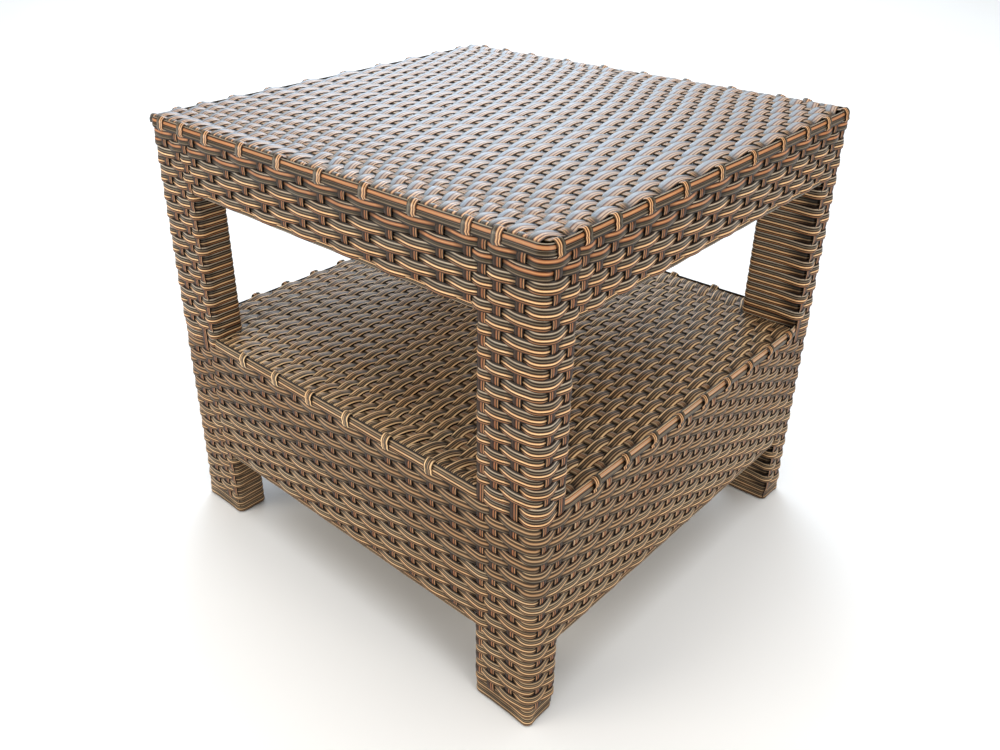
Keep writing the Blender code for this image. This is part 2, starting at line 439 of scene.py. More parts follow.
def stake_places(half, insets, count, pitch):
    """Stakes along a wall from half down to -half: one leg's, those between, the other leg's."""
    leg = [half - d for d in insets]
    middle = [((count - 1) / 2 - i) * pitch for i in range(count)]
    return leg + middle + [-p for p in reversed(leg)]


APRON_FRONT = stake_places(CORE_X, LEG_FRONT_STAKES, FRONT_STAKES, FRONT_PITCH)
APRON_SIDE = list(side_places())
BOX_FRONT = stake_places(CORE_X, LEG_FRONT_STAKES, BOX_FRONT_STAKES, BOX_FRONT_PITCH)
BOX_SIDE = stake_places(CORE_Y, LEG_SIDE_STAKES, BOX_SIDE_STAKES, BOX_SIDE_PITCH)[::-1]
BOX_FRONT_BAY = BOX_FRONT[LEGS_FRONT:-LEGS_FRONT]  # those between the legs
BOX_SIDE_BAY = BOX_SIDE[LEGS_SIDE:-LEGS_SIDE]
SHELF_CROSS = list(SHELF_ENDS) + BOX_SIDE_BAY + [-y for y in reversed(SHELF_ENDS)]
TOP_ROW_Z = (BORDER_HIGH + APRON_TOP) / 2
TOP_RISE = BORDER_HIGH - TOP - LOOP_DROP  # from the frame up to a border's upper edge
SHELF_RISE = BOX_TOP + SHELF_BORDER_WIDTH - SHELF
RIGHT_RISE = SHELF_RISE + RIGHT_BORDER_RAISE
APRON_Z = row_heights(APRON_TOP, APRON_LOW, APRON_ROWS)
BAY_Z = row_heights(APRON_LOW, SHELF_BORDER_HIGH, BAY_ROWS)
BAY_Z[-1] += TWIN_RAISE
BAY_Z.append(BAY_Z[-1] - TWIN_PITCH)
BOX_Z = row_heights(BOX_TOP, BOX_LOW, BOX_ROWS)
FOOT_Z = row_heights(BOX_LOW, FLOOR_GAP, FOOT_ROWS)
WALL = plan_loop(CORE_X, CORE_Y, (PLAN_BEND,) * 4)
WALL_CORNERS = [WALL.find(sx * CORE_X, sy * CORE_Y) for sx in (-1, 1) for sy in (-1, 1)]


def ring_stakes(front, side):
    """Places on the wall loop of every stake, anticlockwise from the front left corner."""
    spots = [(x, -CORE_Y) for x in reversed(front)]
    spots += [(CORE_X, y) for y in side]
    spots += [(x, CORE_Y) for x in front]
    spots += [(-CORE_X, y) for y in reversed(side)]
    return [WALL.find(*spot) for spot in spots]


APRON_RING = ring_stakes(APRON_FRONT, APRON_SIDE)
BOX_RING = ring_stakes(BOX_FRONT, BOX_SIDE)
APRON_FIRST_RIGHT = len(APRON_FRONT)
BOX_FIRST_RIGHT = len(BOX_FRONT)


def turn_about(stake, strand):
    """1 where a strand passes over a stake, -1 where it passes under."""
    return 1 if (stake + strand) % 2 == 0 else -1


def apron_side(stake, row):
    """1 or -1, as turn_about. Row -1 is the border. Stakes count round the wall from its front
    left corner."""
    return turn_about(stake - APRON_FIRST_RIGHT, row)


def bay_side(stake, row):
    """As apron_side, down the legs. The twin row goes with the row above it."""
    return apron_side(stake, min(row, APRON_ROWS + BAY_ROWS - 1))


def box_side(stake, row):
    """As apron_side, for the box. Its border passes over the stakes that start the shelf's sides."""
    return turn_about(stake - BOX_FIRST_RIGHT - LEGS_SIDE, row + 1)


# Colours, linear

INK = (0.01, 0.006, 0.004, 1)
DARK = (0.028, 0.017, 0.01, 1)
UMBER = (0.065, 0.03, 0.016, 1)
OLIVE = (0.064, 0.052, 0.032, 1)
STONE = (0.18, 0.145, 0.1, 1)
PALE = (0.42, 0.365, 0.285, 1)
RUST = (0.19, 0.068, 0.026, 1)
ORANGE = (0.4, 0.185, 0.088, 1)
AMBER = (0.52, 0.275, 0.125, 1)
CREAM = (0.84, 0.6, 0.33, 1)
TAN = (0.33, 0.185, 0.095, 1)
# painted reflection: the sky's blue-grey on a top strand's dark band
SKY_SHEEN_BLUE = (0.175, 0.22, 0.275, 1)
MAUVE = (0.235, 0.22, 0.245, 1)
PEACH = (0.34, 0.235, 0.185, 1)
CLAY = (0.43, 0.335, 0.24, 1)
BUTTER = (0.52, 0.39, 0.24, 1)
STRAW = (0.4, 0.27, 0.15, 1)
MOSS = (0.076, 0.055, 0.034, 1)
WARM_TINT = (0.95, 0.72, 0.52, 1)
COATING = (0.065, 0.04, 0.026, 1)
COATING_DEEP = (0.039, 0.024, 0.0156, 1)
SCUFF = (0.22, 0.19, 0.16, 1)
GLIDE_BLACK = (0.018, 0.017, 0.016, 1)
GLIDE_SCRAPED = (0.1, 0.09, 0.08, 1)
FLOOR_PALE = (0.9, 0.9, 0.9, 1)
FLOOR_PALER = (0.93, 0.93, 0.925, 1)

# Stripes: each one's place across the strip, in hundredths, and its colour
FINE_STRIPES = (
    0, INK, 6, DARK, 10, RUST, 14, TAN, 18, UMBER, 22, INK, 26, UMBER, 29, AMBER, 32, CREAM,
    37, CREAM, 41, ORANGE, 44, DARK, 51, INK, 54, OLIVE, 57, STONE, 61, STONE, 64, DARK, 67, INK,
    74, DARK, 77, STONE, 80, PALE, 85, PALE, 88, UMBER, 92, INK)
BROAD_STRIPES = (
    0, INK, 8, INK, 11, STONE, 14, PALE, 17, PALE, 20, UMBER, 23, INK, 27, INK, 30, RUST, 35, ORANGE,
    41, AMBER, 47, ORANGE, 51, RUST, 55, DARK, 61, INK, 65, OLIVE, 72, OLIVE, 76, DARK, 79, STONE,
    84, STONE, 88, DARK, 93, INK)
BOX_STRIPES = (
    0, INK, 7, UMBER, 11, MOSS, 14, STRAW, 17, BUTTER, 20, STRAW, 24, MOSS, 28, DARK, 34, MOSS,
    40, UMBER, 44, TAN, 49, STRAW, 53, STRAW, 58, TAN, 62, MOSS, 67, DARK, 72, MOSS, 76, UMBER,
    80, STONE, 84, STONE, 88, MOSS, 93, INK)
FOOT_STRIPES = (
    0, INK, 6, DARK, 10, MOSS, 14, TAN, 18, MOSS, 23, DARK, 28, UMBER, 31, TAN, 34, BUTTER, 38, CREAM,
    42, TAN, 46, UMBER, 52, DARK, 56, STONE, 61, STONE, 65, MOSS, 70, DARK, 75, MOSS, 79, STRAW,
    82, BUTTER, 86, STONE, 90, MOSS, 94, INK)
SHELF_STRIPES = (
    0, INK, 4, TAN, 7, CREAM, 18, CREAM, 22, TAN, 26, DARK, 32, MOSS, 36, TAN, 40, BUTTER, 44, TAN,
    48, MOSS, 53, DARK, 59, STONE, 66, MOSS, 72, DARK, 76, TAN, 79, CREAM, 88, CREAM, 91, UMBER,
    95, INK)
# the top strands: painted lighter than the walls' stripes as sheen, with a blue-grey band that is a
# painted sky reflection
TOP_STRIPES = (
    0, DARK, 5, UMBER, 8, AMBER, 12, CLAY, 16, CLAY, 20, RUST, 23, UMBER, 27, PEACH, 33, CLAY,
    40, PEACH, 45, RUST, 49, UMBER, 52, UMBER, 56, MAUVE, 62, SKY_SHEEN_BLUE, 67, MAUVE, 71, SKY_SHEEN_BLUE, 85, SKY_SHEEN_BLUE,
    91, OLIVE, 95, DARK)
LOOP_STRIPES = (
    0, DARK, 6, RUST, 9, AMBER, 13, CREAM, 17, AMBER, 20, RUST, 23, INK, 27, RUST, 31, AMBER,
    38, CREAM, 43, AMBER, 47, RUST, 51, INK, 58, DARK, 64, OLIVE, 72, OLIVE, 78, STONE, 84, OLIVE,
    92, DARK)
SIDE_BORDER_STRIPES = (
    0, INK, 6, STONE, 10, BUTTER, 13, STRAW, 16, DARK, 20, RUST, 25, AMBER, 33, PEACH, 40, BUTTER,
    47, AMBER, 52, RUST, 56, DARK, 61, INK, 66, OLIVE, 72, STONE, 78, OLIVE, 84, STONE, 89, DARK,
    94, INK)
STAKE_STRIPES = (
    0, INK, 8, INK, 11, TAN, 15, AMBER, 18, TAN, 22, DARK, 28, INK, 32, RUST, 40, ORANGE, 48, RUST,
    54, UMBER, 60, INK, 68, DARK, 76, UMBER, 86, DARK, 93, INK)
SHELF_STAKE_STRIPES = (
    0, INK, 8, DARK, 14, TAN, 20, BUTTER, 28, TAN, 34, UMBER, 42, RUST, 50, ORANGE, 58, RUST,
    64, DARK, 72, TAN, 80, STRAW, 87, UMBER, 93, INK)
BORDER_STRIPES = (
    0, STONE, 3, PALE, 6, STONE, 8, INK, 14, INK, 17, RUST, 22, ORANGE, 30, AMBER, 40, ORANGE,
    44, RUST, 47, INK, 52, INK, 55, STONE, 58, DARK, 63, INK, 68, OLIVE, 73, DARK, 77, STONE,
    82, STONE, 85, DARK, 92, INK)


# Materials

class Finish:
    """A node-based material on one Principled shader."""

    def __init__(self, name, **sockets):
        self.material = bpy.data.materials.new(name)
        self.material.use_nodes = True
        self.tree = self.material.node_tree
        self.shader = self.tree.nodes["Principled BSDF"]
        for socket, value in sockets.items():
            self.shader.inputs[socket.replace("_", " ")].default_value = value

    def node(self, kind, links=None, **settings):
        """Adds a node. links maps its inputs to sockets or values."""
        made = self.tree.nodes.new(kind)
        for key, value in settings.items():
            setattr(made, key, value)
        for key, value in (links or {}).items():
            self.feed(made.inputs[key], value)
        return made

    def feed(self, socket, value):
        if isinstance(value, bpy.types.NodeSocket):
            self.tree.links.new(value, socket)
        else:
            socket.default_value = value

    def math(self, operation, a, b=0.0, clamp=False):
        made = self.node("ShaderNodeMath", {0: a, 1: b}, operation=operation, use_clamp=clamp)
        return made.outputs[0]

    def mark(self, label):
        return self.node("ShaderNodeAttribute", attribute_name=label).outputs["Fac"]

    def noise(self, vector, scale, detail=2.0):
        links = {"Vector": vector, "Scale": scale, "Detail": detail}
        return self.node("ShaderNodeTexNoise", links).outputs["Fac"]

    def ramp(self, fac, stops):
        made = self.node("ShaderNodeValToRGB", {"Fac": fac})
        elements = made.color_ramp.elements
        elements.remove(elements[1])
        elements[0].position = stops[0] / 100
        elements[0].color = stops[1]
        for place, colour in zip(stops[2::2], stops[3::2]):
            elements.new(place / 100).color = colour
        return made.outputs["Color"]

    def remap(self, value, low, high, to_low=0.0, to_high=1.0):
        links = {0: value, 1: low, 2: high, 3: to_low, 4: to_high}
        return self.node("ShaderNodeMapRange", links).outputs[0]

    def point(self, x, y, z=0.0):
        return self.node("ShaderNodeCombineXYZ", {0: x, 1: y, 2: z}).outputs[0]

    def place(self):
        return self.node("ShaderNodeTexCoord").outputs["Object"]

    def mix(self, fac, a, b, blend="MIX"):
        made = self.node("ShaderNodeMix", data_type="RGBA", blend_type=blend)
        self.feed(made.inputs[0], fac)
        self.feed(made.inputs[6], a)
        self.feed(made.inputs[7], b)
        return made.outputs[2]

    def colour(self, value):
        self.feed(self.shader.inputs["Base Color"], value)

    def surface(self, roughness, height, strength, distance):
        """Feeds the shader's roughness, and a bump made from height."""
        self.feed(self.shader.inputs["Roughness"], roughness)
        links = {"Height": height, "Strength": strength, "Distance": distance}
        made = self.node("ShaderNodeBump", links)
        self.feed(self.shader.inputs["Normal"], made.outputs["Normal"])


# The strips' finish: scales per metre along a strip and per width across it
DRAWN_ALONG = 14.0
GRAIN_ALONG = 45.0
GRAIN_ACROSS = 14.0
GRAIN_RANGE = (0.3, 0.7)
TONE_APART = 37.0  # takes each strip to its own part of the noise
STRIPE_WANDER = 0.08
LOOP_FADE = (0.014, 0.001)  # where stripes change, inside and past the frame's face
LOOP_RAISED = (0.72, 0.95)  # or how far raised a stake is where they change
GRAIN_TONE = (0.74, 1.22)
GRAIN_ROUGHNESS = (-0.07, 0.12)
WARM_PATCHES = (0.35, 0.65, 0.0, 0.5)
HOLLOW_SHADE = (0.08, 0.50, 0.22, 1.0)  # painted shade: darkest where a strip is least raised


def strand_finish(name, stripes, roughness, gloss, painted_top_light=0.0, loop_stripes=(), level=TOP):
    """Striped plastic with fine drawn lines, uneven tone and painted shade in the hollows. A stake is
    painted lighter above a level, as painted light on the top. loop_stripes show where a stake or
    strand loops over a border."""
    finish = Finish(name, Specular_IOR_Level=gloss)
    across, along, tone, raised = map(finish.mark, ("across", "along", "tone", "raised"))
    apart = finish.math("MULTIPLY", tone, TONE_APART)
    drawn = finish.point(finish.math("MULTIPLY", along, DRAWN_ALONG), apart)
    wander = finish.math("SUBTRACT", finish.noise(drawn, 1.0), 0.5)
    shifted = finish.math("ADD", across, finish.math("MULTIPLY", wander, STRIPE_WANDER), True)
    striped = finish.ramp(shifted, stripes)
    place = finish.node("ShaderNodeSeparateXYZ", {0: finish.place()})
    # painted light: above the level a stake is blended towards a light colour, as light falling on the
    # top
    if painted_top_light:
        above = finish.remap(place.outputs[2], level, level + RAISED, 0.0, painted_top_light)
        striped = finish.mix(above, striped, BUTTER)
    if loop_stripes:
        if painted_top_light:
            looped = finish.remap(raised, *LOOP_RAISED)
        else:
            # on the top strands this also ends the painted sky reflection, where a strand turns down
            # past the frame's face
            from_middle = finish.math("ABSOLUTE", place.outputs[1])
            looped = finish.remap(from_middle, CORE_Y - LOOP_FADE[0], CORE_Y + LOOP_FADE[1])
        striped = finish.mix(looped, striped, finish.ramp(shifted, loop_stripes))
    drawn_out = finish.math("MULTIPLY", along, GRAIN_ALONG)
    lines = finish.point(drawn_out, finish.math("MULTIPLY", across, GRAIN_ACROSS), apart)
    grain = finish.noise(lines, 1.0, 3.0)
    toned = finish.mix(1.0, striped, finish.remap(grain, *GRAIN_RANGE, *GRAIN_TONE), "MULTIPLY")
    warm = finish.remap(finish.noise(drawn, 0.6), *WARM_PATCHES)
    aged = finish.mix(warm, toned, WARM_TINT, "MULTIPLY")
    # painted shade: darker where a strip lies deep in the weave, and on its back
    hollow_shade = finish.remap(raised, *HOLLOW_SHADE)
    finish.colour(finish.mix(1.0, aged, hollow_shade, "MULTIPLY"))
    uneven = finish.remap(grain, *GRAIN_RANGE, *(roughness + change for change in GRAIN_ROUGHNESS))
    finish.surface(uneven, grain, 0.35, 0.00025)
    return finish.material


def metal_finish():
    """Powder-coated tube: fine orange peel, scuffs and a little dust."""
    finish = Finish("frame_coating", Metallic=0.15)
    place = finish.place()
    cloud = finish.noise(place, 22.0, 4.0)
    scuff = finish.remap(finish.noise(place, 140.0, 5.0), 0.66, 0.74, 0.0, 0.5)
    finish.colour(finish.mix(scuff, finish.mix(cloud, COATING_DEEP, COATING), SCUFF))
    finish.surface(finish.remap(cloud, 0.0, 1.0, 0.40, 0.65), finish.noise(place, 900.0), 0.25, 0.0003)
    return finish.material


def glide_finish():
    """Moulded black plastic, scraped pale under the foot."""
    finish = Finish("glide_plastic")
    place = finish.place()
    pitted = finish.noise(place, 600.0, 3.0)
    scrape = finish.remap(finish.noise(place, 90.0, 4.0), 0.55, 0.7, 0.0, 0.6)
    finish.colour(finish.mix(scrape, GLIDE_BLACK, GLIDE_SCRAPED))
    finish.surface(finish.remap(pitted, 0.0, 1.0, 0.45, 0.7), pitted, 0.4, 0.0002)
    return finish.material


# For each strip's finish what strand_finish takes: stripes, roughness, gloss and the rest. A stake's
# fourth value is how far it is painted lighter above the top or the shelf, as painted light on the
# upper face
LOOKS = {
    "fine_strand": (FINE_STRIPES, 0.36, 0.18),
    "stake_strip": (STAKE_STRIPES, 0.40, 0.20, 0.35, LOOP_STRIPES),
    "broad_strand": (BROAD_STRIPES, 0.36, 0.18),
    "border_strip": (BORDER_STRIPES, 0.34, 0.18),
    "top_strand": (TOP_STRIPES, 0.35, 0.60, 0.0, LOOP_STRIPES),
    "box_strand": (BOX_STRIPES, 0.42, 0.16),
    "foot_strand": (FOOT_STRIPES, 0.42, 0.16),
    "shelf_strand": (SHELF_STRIPES, 0.40, 0.22),
    "side_border_strip": (SIDE_BORDER_STRIPES, 0.36, 0.20),
    "shelf_stake_strip": (SHELF_STAKE_STRIPES, 0.40, 0.20, 0.3, LOOP_STRIPES, SHELF),
}


# Woven pieces

def sides(stem, walls=WALL_NAMES):
    """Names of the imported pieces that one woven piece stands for."""
    return [f"{stem}_{wall}" for wall in walls]


def weave_height(side):
    """Height of a weaving strand's middle over (1) or under (-1) a stake."""
    return WEAVE_MID + side * STRAND_SWING


def stake_height(side):
    """Height of a stake's middle where the strand passes over it (1) or under it (-1)."""
    return WEAVE_MID - side * STAKE_SWING


def wall_rows(bundle, heights, ring, passes, first_row, flip):
    """Level strands round the walls."""
    width = (heights[0] - heights[1]) * STRAND_COVER
    for i, z in enumerate(heights):
        knots = [(p, weave_height(passes(j, first_row + i))) for j, p in enumerate(ring)]
        around(bundle, WALL, z, knots, width, flip, WALL_CORNERS)


def top_border(finish):
    """The strand along the top edge: over the stakes that dive under it, under those that loop."""
    bundle = Bundle(STRAND_RIBS, BORDER_THICK)
    lift = WEAVE_MID + BORDER_LIFT
    knots = [(p, lift + BORDER_SWING * apron_side(j, -1)) for j, p in enumerate(APRON_RING)]
    width = BORDER_HIGH - APRON_TOP
    around(bundle, WALL, TOP_ROW_Z - BORDER_DROP, knots, width, False, WALL_CORNERS, BORDER_TILT)
    bundle.build("top_border_strand", finish, sides("top_border"), "border_strand")


def wall_strip(bundle, wall, z, past_leg, lift, width, flip=False, wave=0.0, tilt=0.0):
    """A straight level strip along one wall, which dives under the stakes of the legs beside it."""
    along_x = wall in ("front", "back")
    sign = -1 if wall in ("front", "left") else 1
    if along_x:
        span, half, order = LEG_INNER_X + past_leg[0], CORE_Y, (0, 1, 2)
    else:
        span, half, order = LEG_INNER_Y + past_leg[1], CORE_X, (1, 0, 2)
    places = np.arange(-span, span + STRAND_STEP, STRAND_STEP)
    knots = [(-span, SUNK), (-span + ARCH, lift), (span - ARCH, lift), (span, SUNK)]
    out = sign * (half + eased(places, knots))
    height = z + sway(places, LEVEL_WANDER) + wave * np.sin(places / FRONT_PITCH * np.pi)
    outward = np.full(len(places), sign * math.cos(tilt))
    upward = np.full(len(places), math.sin(tilt))
    run = places * (-sign if along_x else sign)
    centre = np.column_stack([run, out, height])[:, order]
    facing = np.column_stack([np.zeros(len(places)), outward, upward])[:, order]
    bundle.strip(centre, facing, width, False, flip)


def shelf_border(front_finish, side_finish):
    """Strands along the shelf's edges between the legs."""
    z = BOX_TOP + SHELF_BORDER_WIDTH / 2
    lift = WEAVE_MID + BORDER_LIFT
    kinds = ((("front", "back"), front_finish, z, SHELF_BORDER_WIDTH, True),
             (("left",), front_finish, z - LEFT_BORDER_DROP, LEFT_BORDER_WIDTH, False),
             (("right",), side_finish, z + RIGHT_BORDER_RAISE, RIGHT_BORDER_WIDTH, False))
    for walls, finish, middle, width, flip in kinds:
        bundle = Bundle(STRAND_RIBS, BORDER_THICK)
        for wall in walls:
            wall_strip(bundle, wall, middle, BORDER_PAST_LEG, lift, width, flip, 0.0, BORDER_TILT)
        bundle.build("shelf_border_strands_" + walls[0], finish, sides("shelf_border", walls),
                     "border_strand")


def leg_loop(corner, outer_bend):
    """The leg profile's outline seen from above."""
    low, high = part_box("leg_profile_" + corner)
    centre = (low + high) / 2
    half = (high - low) / 2
    order = ("front_right", "back_right", "back_left", "front_left")
    bends = [outer_bend if name == corner else LEG_BEND for name in order]
    return plan_loop(half.x, half.y, bends, (centre.x, centre.y))


def ring_index(ring, x, y):
    """Index of the ring's stake nearest to (x, y)."""
    place = WALL.find(x, y)
    return int(np.argmin([abs(p - place) for p in ring]))


def leg_rows(bundle, corner, sx, sy, heights, passes, ring, first_row, plain=0, flares=()):
    """Level wraps round a leg: woven on its two outer faces and flat on its inner ones. The last
    plain ones are wound without weaving. flares is how far the first ones stand out."""
    low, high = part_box("leg_profile_" + corner)
    outer_x = sx * CORE_X
    outer_y = sy * CORE_Y
    inner_x = low.x if sx > 0 else high.x
    inner_y = low.y if sy > 0 else high.y
    stakes = [(sx * (CORE_X - d), outer_y) for d in LEG_FRONT_STAKES]
    stakes += [(outer_x, sy * (CORE_Y - d)) for d in LEG_SIDE_STAKES]
    width = (heights[0] - heights[1]) * STRAND_COVER
    for i, z in enumerate(heights):
        from_last = len(heights) - 1 - i
        tightened = max(0, TIGHT_WRAPS - from_last) if plain else 0
        loop = leg_loop(corner, PLAN_BEND - FOOT_BEND_STEP * tightened)
        knots = []
        for j, (x, y) in enumerate(stakes):
            side = PLAIN_SIDE if from_last < plain else passes(ring_index(ring, x, y), first_row + i)
            if j == LEGS_FRONT - 1:
                side *= FOOT_EDGE_SWING if plain else LEG_EDGE_SWING
            knots.append((loop.find(x, y), weave_height(side)))
        flat = INNER_WRAP + (flares[i] if i < len(flares) else 0)
        knots.append((loop.find(inner_x, (inner_y + outer_y) / 2), flat))
        knots.append((loop.find(inner_x, inner_y), flat + INNER_CORNER_RISE))
        knots.append((loop.find((inner_x + outer_x) / 2, inner_y), flat))
        around(bundle, loop, z, knots, width, True, (loop.find(outer_x, outer_y),))


def stake_knots(route, half, rows, mirror):
    """Knots of a stake on one wall. rows are (height, side the weaving strand takes)."""
    return [(route.find(mirror * half, z), stake_height(side)) for z, side in rows]


def rim_knots(route, half, level, rise, mirror):
    """Knots that take a stake over the border strand in a loop, or under it if there is no rise."""
    rim = route.find(mirror * half, level)
    beside = route.find(mirror * half, level - RIM_DROP)
    if not rise:
        return [(beside, TUCKED), (rim, TUCKED), (rim + mirror * UNDER_REACH, TUCKED + UNDER_RISE)]
    out = WEAVE_MID + BORDER_LIFT + (BORDER_THICK + STAKE_THICK) / 2
    crown = rise + EDGE_BEND + STAKE_THICK / 2
    foot = route.find(mirror * half, level - BORDER_REACH)
    return [(foot, out + BORDER_REACH * math.sin(BORDER_TILT)),
            (beside, out + LOOP_GAP),
            (rim, crown * (1 - LOOP_ROUNDING)),
            (rim + mirror * LOOP_CROWN, crown * (1 + LOOP_ROUNDING)),
            (rim + mirror * LOOP_REACH, STAKE_HIGH)]


def rows_at(heights, passes, stake, first_row=0):
    """(height, side) of rows where they meet a stake."""
    return [(z, passes(stake, first_row + i)) for i, z in enumerate(heights)]


def leg_rows_at(stake, box_stake):
    """As rows_at, for every row down a leg's stake."""
    rows = rows_at(APRON_Z, apron_side, stake) + rows_at(BAY_Z, bay_side, stake, APRON_ROWS)
    below = BOX_Z + FOOT_Z[:FOOT_ROWS - PLAIN_FOOT_ROWS]
    return rows + rows_at(below, box_side, box_stake)


def strand_xs(count):
    """x of the strands across a surface, from right to left."""
    half = CORE_X - FIELD_EDGE
    pitch = 2 * half / count
    return [half - pitch * (i + 0.5) for i in range(count)]


def leg_hoop(half):
    return hoop(half, TOP, FLOOR_GAP + LEG_END_GAP, 0)


def cross_stake(bundle, route, level, y, rows, rises, crossings):
    """A stake up one side, across and down the other. rows and rises are those of its right and
    left ends, and crossings are (x, side)."""
    knots = [(0, TUCKED), (route.length, TUCKED)]
    for mirror, passed, rise in zip((1, -1), rows, rises):
        knots += stake_knots(route, CORE_X, passed, mirror)
        knots += rim_knots(route, CORE_X, level, rise, mirror)
    knots += [(route.find(x, level), stake_height(side)) for x, side in crossings]
    over(bundle, route, "x", y, knots, STAKE_WIDTH, (0, route.length))


def top_cross_stakes(bundle):
    """Stakes that run up a side, across the top and down the other side."""
    xs = strand_xs(TOP_STRANDS)
    for m, y in enumerate(APRON_SIDE):
        stakes = (APRON_FIRST_RIGHT + m, len(APRON_RING) - 1 - m)
        if abs(y) > LEG_INNER_Y:
            route = leg_hoop(CORE_X)
            rows = [leg_rows_at(stake, ring_index(BOX_RING, x, y))
                    for stake, x in zip(stakes, (CORE_X, -CORE_X))]
        else:
            route = hoop(CORE_X, TOP, APRON_FOOT, TUCK)
            rows = [rows_at(APRON_Z, apron_side, stake) for stake in stakes]
        rises = (0, TOP_RISE) if m % 2 else (TOP_RISE, 0)
        crossings = [(x, turn_about(m, i)) for i, x in enumerate(xs)]
        cross_stake(bundle, route, TOP, y, rows, rises, crossings)


def shelf_cross_stakes(bundle):
    """Stakes that run up the box's side, across the shelf and down the other side, and those that
    run across between the legs only."""
    xs = strand_xs(SHELF_STRANDS)
    route = hoop(CORE_X, SHELF, BOX_FOOT, TUCK)
    for m, y in enumerate(BOX_SIDE_BAY):
        stakes = (BOX_FIRST_RIGHT + LEGS_SIDE + m, len(BOX_RING) - 1 - LEGS_SIDE - m)
        rows = [rows_at(BOX_Z, box_side, stake) for stake in stakes]
        rises = (RIGHT_RISE, 0) if m % 2 else (0, SHELF_RISE - BORDER_DROP)
        crossings = [(x, turn_about(m + len(SHELF_ENDS), i + 1)) for i, x in enumerate(xs)]
        cross_stake(bundle, route, SHELF, y, rows, rises, crossings)
    inner = LEG_INNER_X - INNER_WRAP - STRAND_THICK / 2
    ends = [route.find(mirror * inner, SHELF) for mirror in (1, -1)]
    for m, y in enumerate(SHELF_CROSS):
        if abs(y) < abs(SHELF_ENDS[-1]):
            continue
        knots = [(route.find(x, SHELF), stake_height(turn_about(m, i + 1)))
                 for i, x in enumerate(xs) if abs(x) < inner]
        over(bundle, route, "x", y, knots, STAKE_WIDTH, ends)


def apron_stake(x, wall_y):
    """Route and rows of an apron stake on the front or back, down the wall or down a leg."""
    stake = ring_index(APRON_RING, x, wall_y)
    if abs(x) > LEG_INNER_X:
        return leg_hoop(CORE_Y), leg_rows_at(stake, ring_index(BOX_RING, x, wall_y))
    return hoop(CORE_Y, TOP, APRON_FOOT, TUCK), rows_at(APRON_Z, apron_side, stake)


def box_stake(x, wall_y):
    """As apron_stake, for the box between the legs."""
    stake = ring_index(BOX_RING, x, wall_y)
    return hoop(CORE_Y, SHELF, BOX_FOOT, TUCK), rows_at(BOX_Z, box_side, stake)


def lay_strand(strands, loops, route, level, at, crossings, tails, width, flip, aside):
    """One strand across a surface. Its ends dive inside the border, or go on over it as stakes,
    pieced on beside the wall's first row. crossings are (y, side). tails holds the rows that it
    passes as a stake at the back (1) and the front (-1), or nothing. aside is how far its ends
    stand from its middle line."""
    rise, joint_z = (TOP_RISE, APRON_Z[0]) if level == TOP else (SHELF_RISE, BOX_Z[0])
    middle = route.length / 2
    knots = [(route.find(y, level), weave_height(side)) for y, side in crossings]
    drift, ends, parts = [(middle, 0)], [], []
    widths = [(middle, width)] if tails else width
    for mirror in (1, -1):
        rim = route.find(mirror * CORE_Y, level)
        inside = route.find(mirror * (CORE_Y - STRAY), level)
        drift += [(rim, aside), (inside, 0)]
        if not tails:
            below = route.find(mirror * CORE_Y, level - DIVE_DEPTH)
            dive = route.find(mirror * (CORE_Y - DIVE), level)
            knots += [(rim, TUCKED), (below, TUCKED), (dive, WEAVE_MID + DIVE_RISE)]
            ends.append(below)
            continue
        end = 0 if mirror > 0 else route.length
        joint = route.find(mirror * CORE_Y, joint_z)
        knots += stake_knots(route, CORE_Y, tails[mirror], mirror) + [(end, TUCKED)]
        knots += rim_knots(route, CORE_Y, level, rise, mirror)
        widths += [(joint, STAKE_WIDTH), (rim, STAKE_WIDTH), (inside, width)]
        ends.append(joint)
        parts.append((end, joint))
    for part in parts:
        over(loops, route, "y", at, knots, widths, part, STAKE_STEP, False, drift)
    over(strands, route, "y", at, knots, widths, ends, STRAND_STEP, flip, drift)


def strand_field(count, stakes):
    """The strands of a surface: their x, their width, the x of the loop of each that has one, and
    how far aside each ends at a border."""
    xs = strand_xs(count)
    looped = {min(range(1, count, 2), key=lambda i: abs(xs[i] - x)): x for x in stakes[1::2]}
    known, moved = zip(*sorted((xs[i], x - xs[i]) for i, x in looped.items()))
    drifts = [float(np.interp(x, known, moved)) for x in xs]
    return xs, (xs[0] - xs[1]) * STRAND_COVER, looped, drifts


def top_strands(bundles, loops):
    """Strands that run from front to back across the top."""
    xs, width, looped, drifts = strand_field(TOP_STRANDS, APRON_FRONT)
    for i, at in enumerate(xs):
        bundle = bundles[i >= TOP_STRANDS / 2]
        route = hoop(CORE_Y, TOP, APRON_FOOT, TUCK)
        crossings = [(y, turn_about(m, i)) for m, y in enumerate(APRON_SIDE)]
        tails = {}
        if i in looped:
            for mirror in (1, -1):
                route, tails[mirror] = apron_stake(looped[i], mirror * CORE_Y)
        lay_strand(bundle, loops, route, TOP, at, crossings, tails, width, False, drifts[i])


